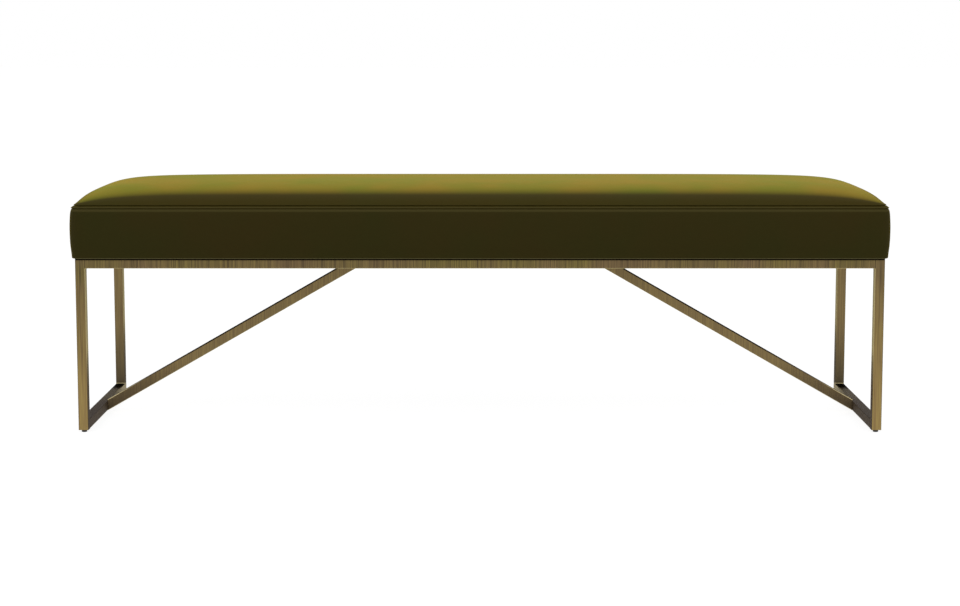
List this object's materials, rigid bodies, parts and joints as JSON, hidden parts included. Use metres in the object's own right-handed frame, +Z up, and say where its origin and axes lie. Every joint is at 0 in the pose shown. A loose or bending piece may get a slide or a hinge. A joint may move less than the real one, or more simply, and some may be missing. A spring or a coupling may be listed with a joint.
{
  "type": "upholstered bench",
  "caption": "Long upholstered bench: crowned velvet box cushion on a slim square-tube frame with diagonal braces, floor rails and levelling glides.",
  "frame": {"origin": "on the floor under the middle of the bench, at the level of the glide pads' lower faces", "axes": "+X along the bench to the right as seen from its front, +Y from front to back, +Z up"},
  "size_m": [1.6548, 0.5108, 0.5019],
  "materials": {
    "frame_tube": "steel tube plated in antique brass and brushed, satin lacquer",
    "glide_insert": "moulded black plastic plug",
    "glide_pad": "moulded black nylon",
    "fastener": "zinc-plated steel",
    "seat_wood": "bare pine and plywood",
    "foam": "open-cell upholstery foam",
    "wadding": "polyester wadding",
    "velvet": "olive green upholstery velvet with a short pile",
    "dust_cloth": "black spunbonded lining cloth"
  },
  "bodies": {
    "bench": {"leg_front_left": "frame_tube", "leg_front_right": "frame_tube", "leg_back_left": "frame_tube", "leg_back_right": "frame_tube", "rail_front": "frame_tube", "rail_back": "frame_tube", "end_rail_left": "frame_tube", "end_rail_right": "frame_tube", "floor_rail_left": "frame_tube", "floor_rail_right": "frame_tube", "cross_bar_left": "frame_tube", "cross_bar_right": "frame_tube", "brace_left": "frame_tube", "brace_right": "frame_tube", "glide_insert_front_left": "glide_insert", "glide_insert_front_right": "glide_insert", "glide_insert_back_left": "glide_insert", "glide_insert_back_right": "glide_insert", "seat_screw_end_left_front": "fastener", "seat_screw_end_left_back": "fastener", "seat_screw_end_right_front": "fastener", "seat_screw_end_right_back": "fastener", "seat_screw_bar_left_front": "fastener", "seat_screw_bar_left_back": "fastener", "seat_screw_bar_right_front": "fastener", "seat_screw_bar_right_back": "fastener", "seat_insert_end_left_front": "fastener", "seat_insert_end_left_back": "fastener", "seat_insert_end_right_front": "fastener", "seat_insert_end_right_back": "fastener", "seat_insert_bar_left_front": "fastener", "seat_insert_bar_left_back": "fastener", "seat_insert_bar_right_front": "fastener", "seat_insert_bar_right_back": "fastener", "seat_board_front": "seat_wood", "seat_board_back": "seat_wood", "seat_board_left": "seat_wood", "seat_board_right": "seat_wood", "seat_slat_left": "seat_wood", "seat_slat_right": "seat_wood", "corner_block_front_left": "seat_wood", "corner_block_front_right": "seat_wood", "corner_block_back_left": "seat_wood", "corner_block_back_right": "seat_wood", "seat_deck": "seat_wood", "foam_core": "foam", "side_wadding": "wadding", "cover_band": "velvet", "cover_top": "velvet", "dust_cover": "dust_cloth"},
    "pad_front_left": {"glide_pad_front_left": "glide_pad"},
    "pad_front_right": {"glide_pad_front_right": "glide_pad"},
    "pad_back_left": {"glide_pad_back_left": "glide_pad"},
    "pad_back_right": {"glide_pad_back_right": "glide_pad"},
    "stud_front_left": {"glide_stud_front_left": "fastener"},
    "stud_front_right": {"glide_stud_front_right": "fastener"},
    "stud_back_left": {"glide_stud_back_left": "fastener"},
    "stud_back_right": {"glide_stud_back_right": "fastener"}
  },
  "joints": [
    {"name": "travel_front_left", "type": "slide", "parent": "bench", "child": "pad_front_left", "axis": [0, 0, 1], "range_m": [-0.012, 0]},
    {"name": "travel_front_right", "type": "slide", "parent": "bench", "child": "pad_front_right", "axis": [0, 0, 1], "range_m": [-0.012, 0]},
    {"name": "travel_back_left", "type": "slide", "parent": "bench", "child": "pad_back_left", "axis": [0, 0, 1], "range_m": [-0.012, 0]},
    {"name": "travel_back_right", "type": "slide", "parent": "bench", "child": "pad_back_right", "axis": [0, 0, 1], "range_m": [-0.012, 0]},
    {"name": "turn_front_left", "type": "hinge", "parent": "pad_front_left", "child": "stud_front_left", "pos_m": [-0.805, -0.233, 0], "axis": [0, 0, 1], "range_deg": [-4320, 0]},
    {"name": "turn_front_right", "type": "hinge", "parent": "pad_front_right", "child": "stud_front_right", "pos_m": [0.805, -0.233, 0], "axis": [0, 0, 1], "range_deg": [-4320, 0]},
    {"name": "turn_back_left", "type": "hinge", "parent": "pad_back_left", "child": "stud_back_left", "pos_m": [-0.805, 0.233, 0], "axis": [0, 0, 1], "range_deg": [-4320, 0]},
    {"name": "turn_back_right", "type": "hinge", "parent": "pad_back_right", "child": "stud_back_right", "pos_m": [0.805, 0.233, 0], "axis": [0, 0, 1], "range_deg": [-4320, 0]}
  ],
  "couplings": [
    {"joint": "turn_front_left", "follows": "travel_front_left", "rad_per_m": 6283.2},
    {"joint": "turn_front_right", "follows": "travel_front_right", "rad_per_m": 6283.2},
    {"joint": "turn_back_left", "follows": "travel_back_left", "rad_per_m": 6283.2},
    {"joint": "turn_back_right", "follows": "travel_back_right", "rad_per_m": 6283.2}
  ]
}
